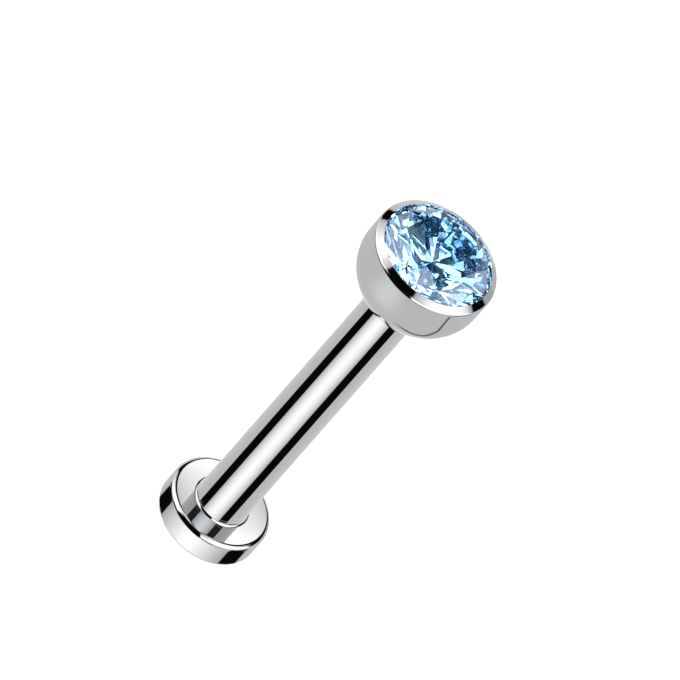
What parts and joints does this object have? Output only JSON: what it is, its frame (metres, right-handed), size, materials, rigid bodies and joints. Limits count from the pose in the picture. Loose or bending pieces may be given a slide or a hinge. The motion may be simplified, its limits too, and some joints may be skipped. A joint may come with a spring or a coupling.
{
  "type": "piercing stud",
  "caption": "Straight flat-back piercing stud: a polished steel post on a round flat back, with a push-in domed top that holds a sky-blue round stone.",
  "frame": {"origin": "centre of the flat back's underside, on the surface that the stud stands on", "axes": "+Z along the post, from the flat back to the stone; X and Y are any two directions across it"},
  "size_m": [0.003, 0.003, 0.0109],
  "materials": {
    "post_steel": "mirror-polished steel",
    "bezel_steel": "mirror-polished steel",
    "sky_stone": "clear sky-blue cut stone"
  },
  "bodies": {
    "post_body": {"flat_back_post": "post_steel"},
    "top_body": {"bezel_top": "bezel_steel", "stone": "sky_stone"}
  },
  "joints": [
    {"name": "top_pull", "type": "slide", "parent": "post_body", "child": "top_body", "axis": [0, 0, 1], "range_m": [0, 0.009]}
  ]
}
